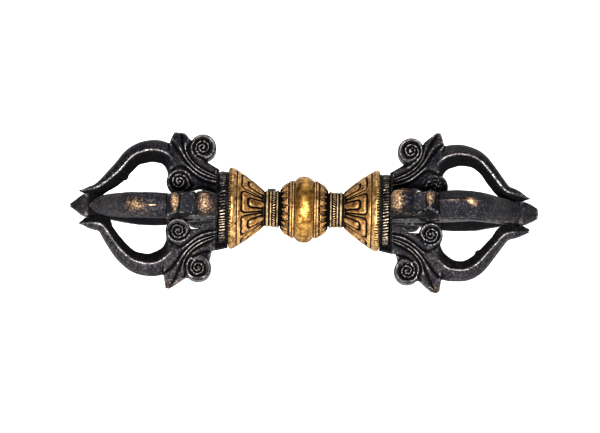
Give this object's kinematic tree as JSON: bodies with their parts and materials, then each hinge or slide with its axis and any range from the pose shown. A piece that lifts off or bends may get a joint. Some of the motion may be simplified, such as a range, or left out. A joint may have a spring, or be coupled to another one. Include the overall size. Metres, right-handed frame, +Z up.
{
  "type": "dorje vajra",
  "caption": "Hand-held ritual vajra: two cages of dark bowed prongs with scrolled heads round a central spike, joined by a gilt lotus hub, lying on its side",
  "frame": {"origin": "on the resting surface, below the middle of the hub ball", "axes": "+X along the vajra towards its right end, +Y away from the viewer of the front, +Z up"},
  "size_m": [0.15, 0.0374, 0.0373],
  "materials": {
    "gilt_brass": "worn antique gilding, dark in the grooves",
    "dark_bronze": "near-black patina, rubbed to copper on the high places",
    "iron": "dull dark iron"
  },
  "bodies": {
    "root": {"hub_ball": "gilt_brass", "left_inner_lotus": "gilt_brass", "right_inner_lotus": "gilt_brass", "left_neck_collar": "gilt_brass", "right_neck_collar": "gilt_brass", "left_lotus_cup": "gilt_brass", "right_lotus_cup": "gilt_brass", "left_rim_band": "gilt_brass", "right_rim_band": "gilt_brass", "left_pearl_band": "dark_bronze", "right_pearl_band": "dark_bronze", "left_moon_disc": "dark_bronze", "right_moon_disc": "dark_bronze", "left_central_prong": "dark_bronze", "right_central_prong": "dark_bronze", "left_prong_top_front": "dark_bronze", "right_prong_top_front": "dark_bronze", "left_prong_top_back": "dark_bronze", "right_prong_top_back": "dark_bronze", "left_prong_bottom_front": "dark_bronze", "right_prong_bottom_front": "dark_bronze", "left_prong_bottom_back": "dark_bronze", "right_prong_bottom_back": "dark_bronze", "core_rod": "iron", "neck_pin": "iron"}
  },
  "joints": []
}
